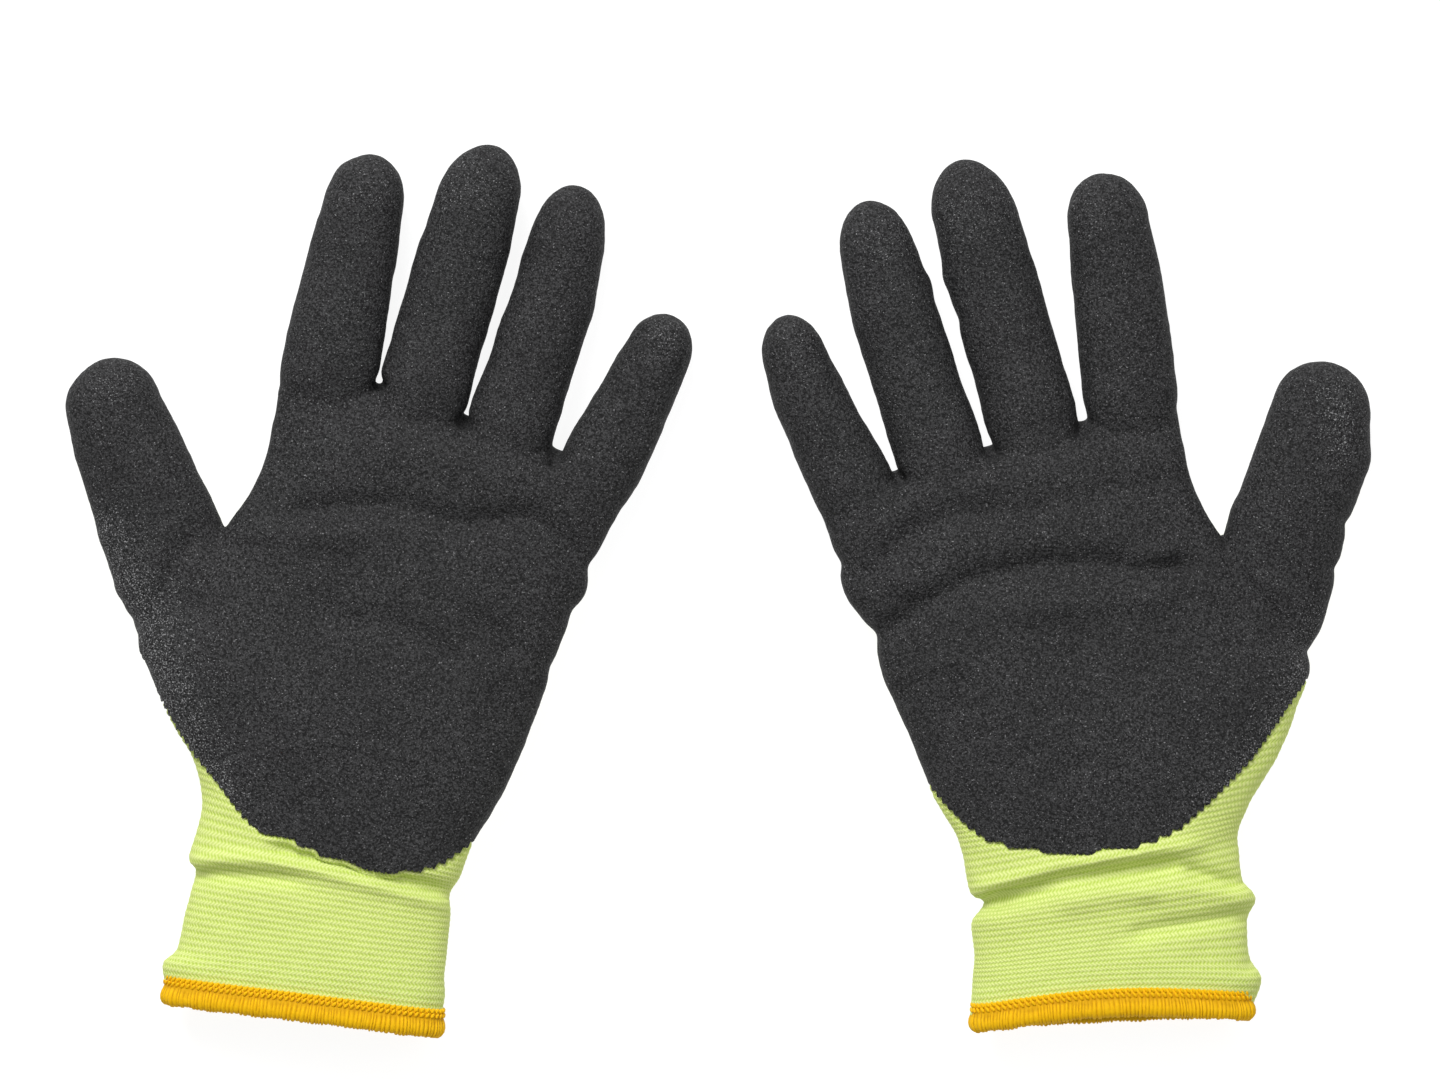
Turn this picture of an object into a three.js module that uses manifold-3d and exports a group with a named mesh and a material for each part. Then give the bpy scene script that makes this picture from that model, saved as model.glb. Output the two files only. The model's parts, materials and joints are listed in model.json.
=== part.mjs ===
// A pair of knitted work gloves with a foam-nitrile coat, lying palm up, fingers along +Y.
//
// Millimetres, +Z up. The backs of the gloves rest on z = 0, and the origin is the middle of
// the pair's footprint. Each glove is drawn once in a hand frame: u (local X) runs from the
// thumb side to the little-finger side, v (local Y) runs from the wrist to the fingertips, and
// the hand frame's origin is the root of the middle finger. The right glove is the mirror image.
//
// A glove is made of a knitted lining (cuff, hand and one stall per finger), a thin coat over
// the hand and the fingers, and an overlocked hem. Every stall is split at its joint, so that a
// finger can bend at its root and at its middle; the hinge lines lie on the palm side.

import * as THREE from "three";
import { mergeVertices } from "three/addons/utils/BufferGeometryUtils.js";
import Module from "manifold-3d";

const wasm = await Module();
wasm.setup();

// ---- driving dimensions --------------------------------------------------------------------

const GAP = 0.35; // clear space between two pieces that lie against each other
const HALF_GAP = GAP / 2;
const COAT = 0.9; // wall of the foam coat
const KNIT = 1.3; // wall of the knitted lining
const HAND_LEAN = 14; // degrees that each hand leans, fingertips to the little-finger side

const KNUCKLE_HEIGHT = 19.5; // thickness of the hand at the finger roots
const WRIST_HEIGHT = 27.5; // thickness of the hand at the wrist
const HAND_LENGTH = 130; // distance over which the hand thickens, from the finger roots to the wrist
const EDGE_ROUND = 7; // rounding of the hand's long edges, seen from above
const EDGE_HEIGHT = 8; // height that this rounding takes
const WEB = 4; // width of the web between the hand and the thumb
const THUMB_STANDS = 6; // distance from that web to the thumb's root
const BACK_LIFT = 0.3; // height of the coated back over the surface it lies on
const KNUCKLE_DIP = 36; // how far the coat reaches down the back from the finger roots
const DIP_SIDE_HEIGHT = 9; // height of the coat's lower edge along the sides of the hand

const CUFF = { width: 79, height: 26, wall: 1.8, length: 38, lift: 1.3 };
const HEM = { width: 82, height: 29, wall: 3, length: 9.5, lift: 0 };

// Root centre, width at the root, width at the middle joint, thickness, length, and the share
// of the length that lies below the middle joint. The roots lie just above the webs, where an
// empty stall can bend.
const FINGERS = {
  index: { u: -29.4, v: 9, root: 28, middle: 26.4, thick: 19, length: 59, split: 0.46 },
  middle: { u: 0, v: 9, root: 26.6, middle: 26.8, thick: 19, length: 70.5, split: 0.43 },
  ring: { u: 27.5, v: 5, root: 25.8, middle: 25, thick: 19, length: 69, split: 0.42 },
  little: { u: 55.2, v: 1, root: 24, middle: 21.6, thick: 17.5, length: 45, split: 0.45 },
  thumb: { root: 35.4, middle: 31, thick: 20, length: 52, split: 0.46 },
};

// What differs between the two gloves: the splay of each finger from the hand's own axis, the
// place of the thumb's root, and the wrist's place and bend.
const GLOVES = {
  left: {
    mirror: 1,
    place: [-85.4, 54.1],
    splay: { index: -2.5, middle: 0.5, ring: 1.5, little: 11, thumb: -35.5 },
    thumbRoot: [-65.1, -51.9],
    wrist: [5.8, -134],
    bend: -4.5,
  },
  right: {
    mirror: -1,
    place: [92.4, 47.7],
    splay: { index: -7, middle: 0.8, ring: 2, little: 9.5, thumb: -28 },
    thumbRoot: [-61.6, -45.3],
    wrist: [10, -125.5],
    bend: -14,
  },
};

const SIDES = 12; // facets round a finger stall
const EXCESS = 60; // how far a cutting block reaches past what it cuts
const ROOT_RUN = 6; // how far a stall runs on below its root before it is cut
const THUMB_RUN = 9; // how far the hand runs on into the thumb before it is cut
const NEAR = 0.02; // overlap that makes sure a cut goes right through

const COLOURS = {
  coat: { color: 0x383838, roughness: 0.75, metalness: 0 },
  knit: { color: 0xcfde7f, roughness: 0.9, metalness: 0 },
  hem: { color: 0xe2b61e, roughness: 0.85, metalness: 0 },
};

// ---- small helpers -------------------------------------------------------------------------

const radians = THREE.MathUtils.degToRad;

// A closed geometry as a solid that can be joined and cut.
function solid(geometry) {
  const bare = geometry.clone();
  bare.deleteAttribute("normal");
  bare.deleteAttribute("uv");
  const merged = mergeVertices(bare, 1e-4);
  const vertProperties = new Float32Array(merged.attributes.position.array);
  const triVerts = new Uint32Array(merged.index.array);
  return new wasm.Manifold(new wasm.Mesh({ numProp: 3, vertProperties, triVerts }));
}

// The solid's triangles as a geometry.
function geometryOf(body) {
  const mesh = body.getMesh();
  const geometry = new THREE.BufferGeometry();
  geometry.setAttribute("position", new THREE.BufferAttribute(new Float32Array(mesh.vertProperties), 3));
  geometry.setIndex(new THREE.BufferAttribute(new Uint32Array(mesh.triVerts), 1));
  geometry.computeVertexNormals();
  return geometry;
}

function piece(name, geometry, finish) {
  const mesh = new THREE.Mesh(geometry, new THREE.MeshStandardMaterial(COLOURS[finish]));
  mesh.name = name;
  return mesh;
}

// A block between two corners, turned about Z.
function block(low, high, turn = 0) {
  const size = high.map((value, i) => value - low[i]);
  const box = new THREE.BoxGeometry(...size);
  box.translate(...low.map((value, i) => value + size[i] / 2));
  box.rotateZ(radians(turn));
  return box;
}

// A flat outline raised between two heights.
function prism(points, low, high) {
  const shape = new THREE.Shape(points.map(([x, y]) => new THREE.Vector2(x, y)));
  const geometry = new THREE.ExtrudeGeometry(shape, { depth: high - low, bevelEnabled: false });
  return geometry.translate(0, 0, low);
}

// ---- finger stalls -------------------------------------------------------------------------

// Half-width of a stall at a distance from its root, as [distance, half-width] pairs. It tapers
// to the middle joint and a little more, then closes in a blunt round tip.
function stallProfile(finger) {
  const joint = finger.length * finger.split;
  const root = finger.root / 2;
  const middle = finger.middle / 2;
  const round = middle * 0.95; // length of the round tip
  const straight = finger.length - round;
  const end = middle * 0.95; // half-width where the round tip starts
  const profile = [[-ROOT_RUN, root], [0, root], [joint, middle], [straight, end]];
  for (const angle of [30, 55, 75]) {
    const along = straight + round * Math.sin(radians(angle));
    profile.push([along, end * Math.pow(Math.cos(radians(angle)), 0.8)]);
  }
  profile.push([finger.length, 0]);
  return profile;
}

// The stall's solid shape, drawn in by an inset on every side, lying along +Y with its middle
// line at half its thickness.
function stallBody(finger, inset) {
  const profile = stallProfile(finger);
  const start = profile[0][0];
  const reach = (finger.length - inset - start) / (finger.length - start);
  const points = [new THREE.Vector2(0, start)];
  for (const [along, half] of profile) {
    points.push(new THREE.Vector2(half * 2 / finger.root, start + (along - start) * reach));
  }
  const lathe = new THREE.LatheGeometry(points, SIDES);
  lathe.scale(finger.root / 2 - inset, 1, finger.thick / 2 - inset);
  lathe.translate(0, 0, finger.thick / 2);
  return solid(lathe);
}

// One layer of a stall, as its part below the middle joint and its part beyond it. The root is
// cut along the knuckle line, which is turned from the finger's own axis by its splay.
function stallLayer(finger, inset, wall, rootTurn) {
  const shell = stallBody(finger, inset).subtract(stallBody(finger, inset + wall));
  const joint = finger.length * finger.split;
  const behindRoot = block([-EXCESS, -EXCESS, -EXCESS], [EXCESS, HALF_GAP, EXCESS], rootTurn);
  const pastJoint = block([-EXCESS, joint - HALF_GAP, -EXCESS], [EXCESS, 3 * EXCESS, EXCESS]);
  const beforeJoint = block([-EXCESS, -EXCESS, -EXCESS], [EXCESS, joint + HALF_GAP, EXCESS]);
  const base = shell.subtract(solid(behindRoot)).subtract(solid(pastJoint));
  const tip = shell.subtract(solid(beforeJoint));
  const tipGeometry = geometryOf(tip);
  tipGeometry.translate(0, -joint, 0);
  return { base: geometryOf(base), tip: tipGeometry };
}

// A finger as two nested groups: the base turns at the root, and the tip turns on the base.
function makeFinger(side, name, finger, place, splay) {
  const rootTurn = name === "thumb" ? 0 : splay;
  const coat = stallLayer(finger, 0, COAT, rootTurn);
  const knit = stallLayer(finger, COAT + GAP, KNIT, rootTurn);

  const base = new THREE.Group();
  base.name = `${side}_${name}_root`;
  base.position.set(place[0], place[1], 0);
  base.rotation.z = radians(-splay);
  base.add(piece(`${side}_${name}_coat_base`, coat.base, "coat"));
  base.add(piece(`${side}_${name}_knit_base`, knit.base, "knit"));

  const tip = new THREE.Group();
  tip.name = `${side}_${name}_joint`;
  tip.position.set(0, finger.length * finger.split, 0);
  tip.add(piece(`${side}_${name}_coat_tip`, coat.tip, "coat"));
  tip.add(piece(`${side}_${name}_knit_tip`, knit.tip, "knit"));
  base.add(tip);
  return base;
}

// ---- hand ----------------------------------------------------------------------------------

// A point given along and across the thumb, from the thumb's root.
function fromThumb(glove, across, along) {
  const turn = radians(glove.splay.thumb);
  const u = glove.thumbRoot[0] + across * Math.cos(turn) + along * Math.sin(turn);
  const v = glove.thumbRoot[1] - across * Math.sin(turn) + along * Math.cos(turn);
  return [u, v];
}

// A point given across and along the cuff, from the middle of the wrist.
function fromWrist(glove, across, along) {
  const turn = radians(glove.bend);
  const u = glove.wrist[0] + across * Math.cos(turn) + along * Math.sin(turn);
  const v = glove.wrist[1] - across * Math.sin(turn) + along * Math.cos(turn);
  return [u, v];
}

// The hand's outline from above, running on a little past the finger roots, the thumb's root
// and the wrist, where it is cut off afterwards.
function handOutline(glove) {
  const halfThumb = FINGERS.thumb.root / 2;
  const halfCuff = CUFF.width / 2;
  return [
    fromWrist(glove, halfCuff, -8),
    fromWrist(glove, halfCuff, 4),
    [49.5, -109],
    [54, -90],
    [57.5, -66],
    [60, -46],
    [62.5, -28],
    [66, -5],
    [68.5, 20],
    [-43.8, 20],
    [-43, -4],
    [-42.5, -26],
    fromThumb(glove, halfThumb + WEB, 0.3 * WEB - THUMB_STANDS),
    fromThumb(glove, halfThumb, -THUMB_STANDS),
    fromThumb(glove, halfThumb, THUMB_RUN),
    fromThumb(glove, -halfThumb, THUMB_RUN),
    fromThumb(glove, -halfThumb, 0),
    [-67, -82],
    [-57.5, -95],
    [-46.5, -108.5],
    fromWrist(glove, -halfCuff, 6),
    fromWrist(glove, -halfCuff, -8),
  ];
}

function handHeight(v) {
  return THREE.MathUtils.lerp(KNUCKLE_HEIGHT, WRIST_HEIGHT, -v / HAND_LENGTH);
}

// The hand as a rounded slab, drawn in by an inset on every side. Its height follows the hand.
function handBody(glove, inset) {
  const shape = new THREE.Shape(handOutline(glove).map(([u, v]) => new THREE.Vector2(u, v)));
  const slab = new THREE.ExtrudeGeometry(shape, {
    depth: 1,
    bevelThickness: EDGE_HEIGHT,
    bevelSize: EDGE_ROUND,
    bevelOffset: -EDGE_ROUND - inset,
    bevelSegments: 2,
  });
  const places = slab.attributes.position;
  for (let i = 0; i < places.count; i += 1) {
    const height = handHeight(places.getY(i)) - BACK_LIFT - 2 * inset;
    const share = (places.getZ(i) + EDGE_HEIGHT) / (2 * EDGE_HEIGHT + 1);
    places.setZ(i, BACK_LIFT + inset + height * share);
  }
  return solid(slab);
}

// Everything past the finger roots, past the thumb's root, and below the wrist.
function handCutters(glove) {
  const { index, middle, ring, little } = FINGERS;
  const betweenIndexAndMiddle = (index.u + index.root / 2 + middle.u - middle.root / 2) / 2;
  const betweenMiddleAndRing = (middle.u + middle.root / 2 + ring.u - ring.root / 2) / 2;
  const betweenRingAndLittle = (ring.u + ring.root / 2 + little.u - little.root / 2) / 2;
  const front = [
    [-2 * EXCESS, index.v - HALF_GAP],
    [betweenIndexAndMiddle, index.v - HALF_GAP],
    [betweenIndexAndMiddle, middle.v - HALF_GAP],
    [betweenMiddleAndRing, middle.v - HALF_GAP],
    [betweenMiddleAndRing, ring.v - HALF_GAP],
    [betweenRingAndLittle, ring.v - HALF_GAP],
    [betweenRingAndLittle, little.v - HALF_GAP],
    [2 * EXCESS, little.v - HALF_GAP],
    [2 * EXCESS, EXCESS],
    [-2 * EXCESS, EXCESS],
  ];
  const halfThumb = FINGERS.thumb.root / 2;
  const pastThumb = [
    fromThumb(glove, halfThumb + NEAR, -HALF_GAP),
    fromThumb(glove, halfThumb + NEAR, EXCESS),
    fromThumb(glove, -EXCESS, EXCESS),
    fromThumb(glove, -EXCESS, -HALF_GAP),
  ];
  const belowWrist = [
    fromWrist(glove, -2 * EXCESS, HALF_GAP),
    fromWrist(glove, -2 * EXCESS, -EXCESS),
    fromWrist(glove, 2 * EXCESS, -EXCESS),
    fromWrist(glove, 2 * EXCESS, HALF_GAP),
  ];
  return [front, pastThumb, belowWrist].map((points) => solid(prism(points, -EXCESS, EXCESS)));
}

// What the coat leaves bare: the palm side below the dip line, which dips towards the wrist in
// its middle, and the back of the hand below the knuckles.
function bareParts(glove) {
  const dip = [[-75, 66], [-57, 36], [-39, 16], [-23, 7], [-5, 2.5], [16, 1.5], [28, 4], [38, 12], [60, 34]];
  const belowDip = dip.map(([across, along]) => fromWrist(glove, across, along));
  belowDip.push(fromWrist(glove, 60, -EXCESS), fromWrist(glove, -75, -EXCESS));
  const back = block([-2 * EXCESS, -3 * EXCESS, -EXCESS], [2 * EXCESS, -KNUCKLE_DIP, DIP_SIDE_HEIGHT]);
  return [solid(prism(belowDip, -EXCESS, EXCESS)), solid(back)];
}

function cutAll(body, cutters) {
  return cutters.reduce((rest, cutter) => rest.subtract(cutter), body);
}

function makeHand(side, glove) {
  const cutters = handCutters(glove);
  const lining = COAT + GAP;
  const knit = handBody(glove, lining).subtract(handBody(glove, lining + KNIT));
  const coat = handBody(glove, 0).subtract(handBody(glove, COAT));
  const bare = [...cutters, ...bareParts(glove)];
  return [
    piece(`${side}_hand_knit`, geometryOf(cutAll(knit, cutters)), "knit"),
    piece(`${side}_palm_coat`, geometryOf(cutAll(coat, bare)), "coat"),
  ];
}

// ---- cuff and hem --------------------------------------------------------------------------

// A flat-sided oval with round ends.
function oval(path, width, height) {
  const radius = height / 2;
  const flat = width / 2 - radius;
  path.absarc(flat, 0, radius, -Math.PI / 2, Math.PI / 2, false);
  path.absarc(-flat, 0, radius, Math.PI / 2, 1.5 * Math.PI, false);
  path.closePath();
  return path;
}

// An oval sleeve that runs from the origin towards the arm.
function sleeve({ width, height, wall, length, lift }) {
  const shape = oval(new THREE.Shape(), width, height);
  shape.holes.push(oval(new THREE.Path(), width - 2 * wall, height - 2 * wall));
  const tube = new THREE.ExtrudeGeometry(shape, { depth: length - GAP, bevelEnabled: false, curveSegments: 8 });
  tube.rotateX(Math.PI / 2);
  tube.translate(0, -HALF_GAP, lift + height / 2);
  return geometryOf(solid(tube));
}

function makeCuff(side, glove) {
  const cuff = new THREE.Group();
  cuff.name = `${side}_wrist`;
  cuff.position.set(glove.wrist[0], glove.wrist[1], 0);
  cuff.rotation.z = radians(-glove.bend);
  cuff.add(piece(`${side}_cuff_rib`, sleeve(CUFF), "knit"));
  const hem = piece(`${side}_hem_binding`, sleeve(HEM), "hem");
  hem.position.y = -CUFF.length;
  cuff.add(hem);
  return cuff;
}

// ---- the pair ------------------------------------------------------------------------------

function makeGlove(side) {
  const glove = GLOVES[side];
  const hand = new THREE.Group();
  hand.name = `${side}_hand`;
  hand.rotation.z = radians(-HAND_LEAN);
  hand.add(...makeHand(side, glove), makeCuff(side, glove));
  for (const [name, finger] of Object.entries(FINGERS)) {
    const place = name === "thumb" ? glove.thumbRoot : [finger.u, finger.v];
    hand.add(makeFinger(side, name, finger, place, glove.splay[name]));
  }
  const placed = new THREE.Group();
  placed.position.set(glove.place[0], glove.place[1], 0);
  placed.scale.x = glove.mirror;
  placed.add(hand);
  return placed;
}

const pair = new THREE.Group();
pair.add(makeGlove("left"), makeGlove("right"));
pair.updateMatrixWorld(true);
const footprint = new THREE.Box3().setFromObject(pair, true);
const middleOfFootprint = footprint.getCenter(new THREE.Vector3());
pair.position.set(-middleOfFootprint.x, -middleOfFootprint.y, 0);

const group = new THREE.Group();
group.add(pair);

export default group;
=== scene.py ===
import json
import math
from itertools import compress

import bmesh
import bpy
import numpy as np
from mathutils import Matrix, Vector, noise


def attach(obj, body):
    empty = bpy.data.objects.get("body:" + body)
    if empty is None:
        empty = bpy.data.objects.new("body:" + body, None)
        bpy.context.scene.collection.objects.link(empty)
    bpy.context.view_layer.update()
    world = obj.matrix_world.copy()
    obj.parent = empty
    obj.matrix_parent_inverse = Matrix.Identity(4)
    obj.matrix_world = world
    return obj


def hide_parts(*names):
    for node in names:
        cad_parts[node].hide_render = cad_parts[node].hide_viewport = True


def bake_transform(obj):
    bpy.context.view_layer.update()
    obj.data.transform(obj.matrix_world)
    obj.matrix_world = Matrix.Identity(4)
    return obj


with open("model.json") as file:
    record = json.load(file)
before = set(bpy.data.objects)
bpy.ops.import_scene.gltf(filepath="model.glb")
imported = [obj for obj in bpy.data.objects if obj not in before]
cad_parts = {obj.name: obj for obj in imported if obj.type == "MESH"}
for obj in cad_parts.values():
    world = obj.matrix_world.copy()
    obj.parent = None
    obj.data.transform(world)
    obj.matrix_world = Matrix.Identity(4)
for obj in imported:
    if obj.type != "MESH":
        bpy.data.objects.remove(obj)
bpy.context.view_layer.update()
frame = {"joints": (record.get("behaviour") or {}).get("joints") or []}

bl_info = {
    "name": "Electrical insulating gloves",
    "version": (1, 0, 0),
    "blender": (4, 5, 0),
    "location": "View3D > Sidebar > Gloves",
    "description": "Builds a pair of palm-coated knit gloves with ribbed cuffs around the packed frame",
    "category": "Object",
}

JOINTS = {joint["name"]: joint for joint in frame["joints"]}

MM = 0.001
SIDES = ("left", "right")
FINGERS = ("index", "middle", "ring", "little", "thumb")
# The hand frame of each glove, in millimetres: u runs across the palm from the thumb's side to the
# little finger's, v from the wrist to the fingertips, z up from the surface that the back lies on.
MIDDLE_ROOT_V = 9.0

# Outline of the hand and wrist: thumb's side (u, v), little finger's side (u, v), height.
OUTLINE = {
    "left": (
        ((-31.7, -180.6), (48.3, -170.8), 26.6),
        ((-34.2, -174.0), (47.6, -164.5), 26.8),
        ((-31.2, -168.5), (46.0, -158.5), 26.6),
        ((-31.4, -158.0), (44.8, -150.0), 26.2),
        ((-31.3, -146.5), (43.6, -140.5), 26.0),
        ((-33.8, -141.2), (42.0, -135.0), 26.0),
        ((-34.0, -128.0), (43.4, -129.0), 26.6),
        ((-39.2, -116.0), (44.8, -119.0), 27.0),
        ((-49.3, -105.0), (48.4, -108.0), 27.0),
        ((-58.2, -93.5), (51.4, -95.0), 26.4),
        ((-64.5, -82.0), (53.2, -82.0), 25.2),
        ((-58.0, -72.0), (54.6, -70.0), 24.0),
        ((-52.5, -59.0), (55.5, -57.0), 23.2),
        ((-47.2, -47.5), (58.0, -44.0), 22.4),
        ((-41.5, -32.0), (59.5, -30.0), 21.4),
        ((-41.4, -16.0), (62.6, -16.0), 20.4),
        ((-42.0, -6.0), (65.0, -9.0), 18.6),
        ((-42.6, 1.5), (66.0, -7.0), 14.5),
        ((-42.8, 5.8), (66.0, -5.6), 9.0),
    ),
    "right": (
        ((-21.0, -175.9), (59.6, -159.7), 26.6),
        ((-24.8, -169.8), (57.4, -153.4), 26.8),
        ((-22.8, -163.0), (56.0, -148.6), 26.6),
        ((-24.8, -153.5), (54.4, -144.0), 26.2),
        ((-28.6, -147.3), (53.4, -138.0), 26.0),
        ((-26.4, -140.8), (52.2, -133.4), 26.0),
        ((-27.4, -133.0), (48.0, -129.2), 26.0),
        ((-28.6, -127.5), (50.9, -125.0), 26.6),
        ((-34.8, -119.0), (50.6, -113.0), 27.0),
        ((-44.0, -109.6), (51.8, -105.0), 27.0),
        ((-53.0, -97.5), (54.8, -95.0), 26.4),
        ((-60.8, -84.5), (56.6, -83.0), 25.4),
        ((-56.0, -74.0), (58.3, -72.0), 24.4),
        ((-52.5, -59.0), (60.6, -60.0), 23.4),
        ((-46.5, -47.5), (61.3, -46.0), 22.5),
        ((-41.0, -32.0), (65.6, -29.0), 21.4),
        ((-40.6, -18.0), (65.6, -17.0), 20.6),
        ((-41.0, -10.0), (66.4, -10.0), 18.6),
        ((-41.4, -4.0), (67.0, -6.0), 14.5),
        ((-41.5, -1.0), (67.0, -3.0), 9.0),
    ),
}
# Numbers of outline lines, counted from the mouth.
SLEEVE_TOP = {"left": 10, "right": 11}  # where the ribbed sleeve ends under the coat
SHELL_START = {"left": 4.5, "right": 5.5}  # where the hand's own shell starts
SLEEVE_SINKS = {"left": (5.0, 7.0), "right": (6.6, 8.4)}  # where its back narrows to the lining
# The palm's side of the mouth is bowed towards the fingers in its middle.
BOW = {"left": 0.4, "right": 3.1}
BOW_ENDS = 4.0

# Fingers: coated width at the root, at the middle and at 0.72 of the length, height, length,
# lean of the centre line towards the little finger's side at the root, half way and at the tip.
FINGER_SHAPES = {
    "left": {
        "index": (28.5, 26.2, 23.6, 19.0, 58.5, (0.0, 0.0, 0.6)),
        "middle": (26.5, 26.8, 24.6, 19.0, 69.6, (-1.1, -0.3, 0.8)),
        "ring": (25.5, 24.6, 22.4, 19.0, 68.0, (-1.5, 0.8, -0.8)),
        "little": (24.0, 21.6, 19.6, 17.5, 43.2, (0.0, 0.8, 1.0)),
        "thumb": (35.4, 31.2, 28.2, 20.0, 51.0, (-1.0, -1.0, 0.0)),
    },
    "right": {
        "index": (27.6, 26.4, 24.2, 19.0, 58.8, (-0.5, -0.6, 0.4)),
        "middle": (26.5, 26.6, 25.0, 19.0, 72.0, (0.5, 1.0, 1.7)),
        "ring": (25.5, 25.2, 23.0, 19.0, 71.0, (1.5, 3.0, 2.4)),
        "little": (24.0, 21.8, 19.4, 17.5, 49.2, (1.0, 2.2, 0.9)),
        "thumb": (34.5, 33.0, 28.8, 20.0, 50.0, (-1.8, -4.4, -2.6)),
    },
}
BURIED = {"thumb": (-46.0, -30.0, -21.0), "finger": (-24.0, -14.0, -6.0)}  # root inside the palm
DOME_START = 0.72
CUT_BEFORE_ROOT = 2.0
CUT_BEFORE_MIDDLE = 8.0
BLEND_ROOT = {"little": 14.0, "thumb": 20.0}
BLEND_ROOT_USUAL = 18.0
BLEND_MIDDLE = 16.0

# Lower edge of the coat over the wrist, in the wrist's frame: across, along.
WRIST = {"left": (5.8, -134.0, -4.5), "right": (10.0, -125.5, -14.0)}
DIP_LINE = {
    "left": (
        (-75, 67), (-58, 41), (-52.4, 34), (-44.5, 25), (-36, 18), (-29.2, 11.6), (-22.5, 6.4),
        (-11.8, 5), (1.5, 1.3), (16.3, 0.4), (24.6, 1.4), (32.3, 5.2), (37.8, 10.3), (60, 33), (75, 54),
    ),
    "right": (
        (-75, 74), (-58.2, 52.8), (-51.3, 43.5), (-41, 29), (-29.6, 17.6), (-20.3, 9.3), (-12, 5.5),
        (-5.8, 3.7), (6, 2.5), (19.1, 2.6), (28, 3.9), (35.6, 6), (41.8, 10.4), (47, 15.6),
        (51.2, 20.7), (62, 34), (75, 53),
    ),
}
REST_GAP = 0.05  # between the gloves and the surface that they lie on
LINING_GAP = 0.5  # between the lining and the coat over it
DIP_SIDE_HEIGHT = 9.0  # the coat comes down the hand's sides to this height
KNUCKLE_DIP = 36.0  # and all round the fingers, from this far behind v = 0
STEP_EDGES = (0.36, 0.64)  # where in a course the coat's edge steps to the next one
FRAY_DEPTH, FRAY_TURNS = 0.35, (5.1, 1.7)
CLOTH_SWELLS = ((0.55, 17.0, 1), (0.25, 6.0, 2))  # depth, size and seed of the cloth's unevenness
SHARP_ANGLE = 0.95  # radians between faces over which an edge stays sharp

# Creases (depth over zero) and swells (depth under zero) of the palm: half width, depth, points.
MARKS = {
    "left": (
        (4.2, 2.3, ((-33, -40), (-14, -33), (0, -29), (20, -30), (38, -23), (50, -28), (57, -34))),
        (5.0, -1.3, ((-41, -47), (-24, -43), (-4, -40))),
        (6.0, -1.3, ((-14, -15), (8, -12), (35, -14))),
        (3.5, 1.6, ((-38, -27), (-33, -25))),
        (2.6, 1.2, ((-27, -12), (-24, -11))),
        (3.8, 1.6, ((-53, -49), (-58, -60), (-60, -71), (-60, -80))),
        (4.0, 1.3, ((26, -54), (37.5, -58.5), (48, -65))),
        (5.0, 1.2, ((-19, -64), (-6, -65), (9, -63), (22, -68), (30, -72))),
        (0.8, -0.5, ((-19, -107), (-3, -100), (9, -99), (27, -99))),
        (1.0, -0.8, ((44, -31), (51, -36), (54, -41))),
        (3.4, -0.9, ((34, -66), (46, -74))),
        (4.0, -0.8, ((-66, -62), (-50, -92))),
    ),
    "right": (
        (4.3, 2.7, ((58, -48), (47, -42), (31, -38), (11, -37.6), (-8, -42), (-28, -48), (-38, -50))),
        (4.6, 1.9, ((64, -31), (53, -25.6), (41, -20), (29, -17.5), (13, -22))),
        (4.0, 1.0, ((13, -22), (-22, -22), (-36, -25))),
        (4.0, 1.2, ((-31, -36), (-24, -36))),
        (3.2, -1.6, ((-14, -43), (-26, -43.5), (-34, -43))),
        (4.4, -1.3, ((22, -49), (-6, -52), (-30, -57))),
        (4.5, -1.2, ((44, -32), (52, -36))),
        (5.5, -1.1, ((46, -8), (20, -9), (-8, -8), (-20, -9))),
        (3.2, 1.2, ((-44, -50), (-50, -63), (-58, -74))),
        (3.0, 1.1, ((-37, -58), (-46, -74))),
        (2.8, 1.0, ((-57, -50), (-64, -67))),
        (3.0, 1.0, ((34, -62), (47, -77))),
        (1.8, -0.8, ((52, -58), (34, -60))),
        (4.0, 0.7, ((5, -96), (28, -100))),
    ),
}
# Dents (over zero) and bumps (under zero) that also show in the side of the hand.
DENTS = {
    "left": (
        (3.4, 1.3, ((58.8, -33),)), (3.6, 1.0, ((55.5, -47),)), (3.2, 0.8, ((54.5, -64),)),
        (4.0, -0.6, ((58.5, -40),)), (2.4, 0.9, ((-77, -61),)), (2.6, -0.7, ((-72, -72),)),
        (2.6, 0.8, ((-67, -80),)), (2.6, -0.6, ((-61, -88),)), (2.4, 0.6, ((-89, -40),)),
        (2.2, 1.0, ((41, -6),)), (3.0, -0.8, ((-37, 60),)),
    ),
    "right": (
        (3.2, 1.5, ((64.5, -24),)), (3.6, 1.7, ((60.5, -46.5),)), (3.8, -0.7, ((65, -35),)),
        (3.0, 0.8, ((55.5, -65),)), (2.4, 1.2, ((-80, -48),)), (2.4, 1.3, ((-73, -59),)),
        (3.2, -0.8, ((-79, -38),)), (3.4, -1.4, ((17, 48.6),)), (2.6, 0.9, ((15.5, 36),)),
        (2.4, 0.8, ((46.5, 16),)),
    ),
}
CREASE_STRENGTH = 1.1
MARK_FADE = 7.0  # length over which a mark gains its full depth
# Pits where the fingers meet.
WEB_PITS = {
    "left": ((-13.7, 3.6), (12.4, -1.5), (40.6, -5.6)),
    "right": ((-12.4, -4.2), (14.2, -4.2), (41.4, -4.6)),
}
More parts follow.
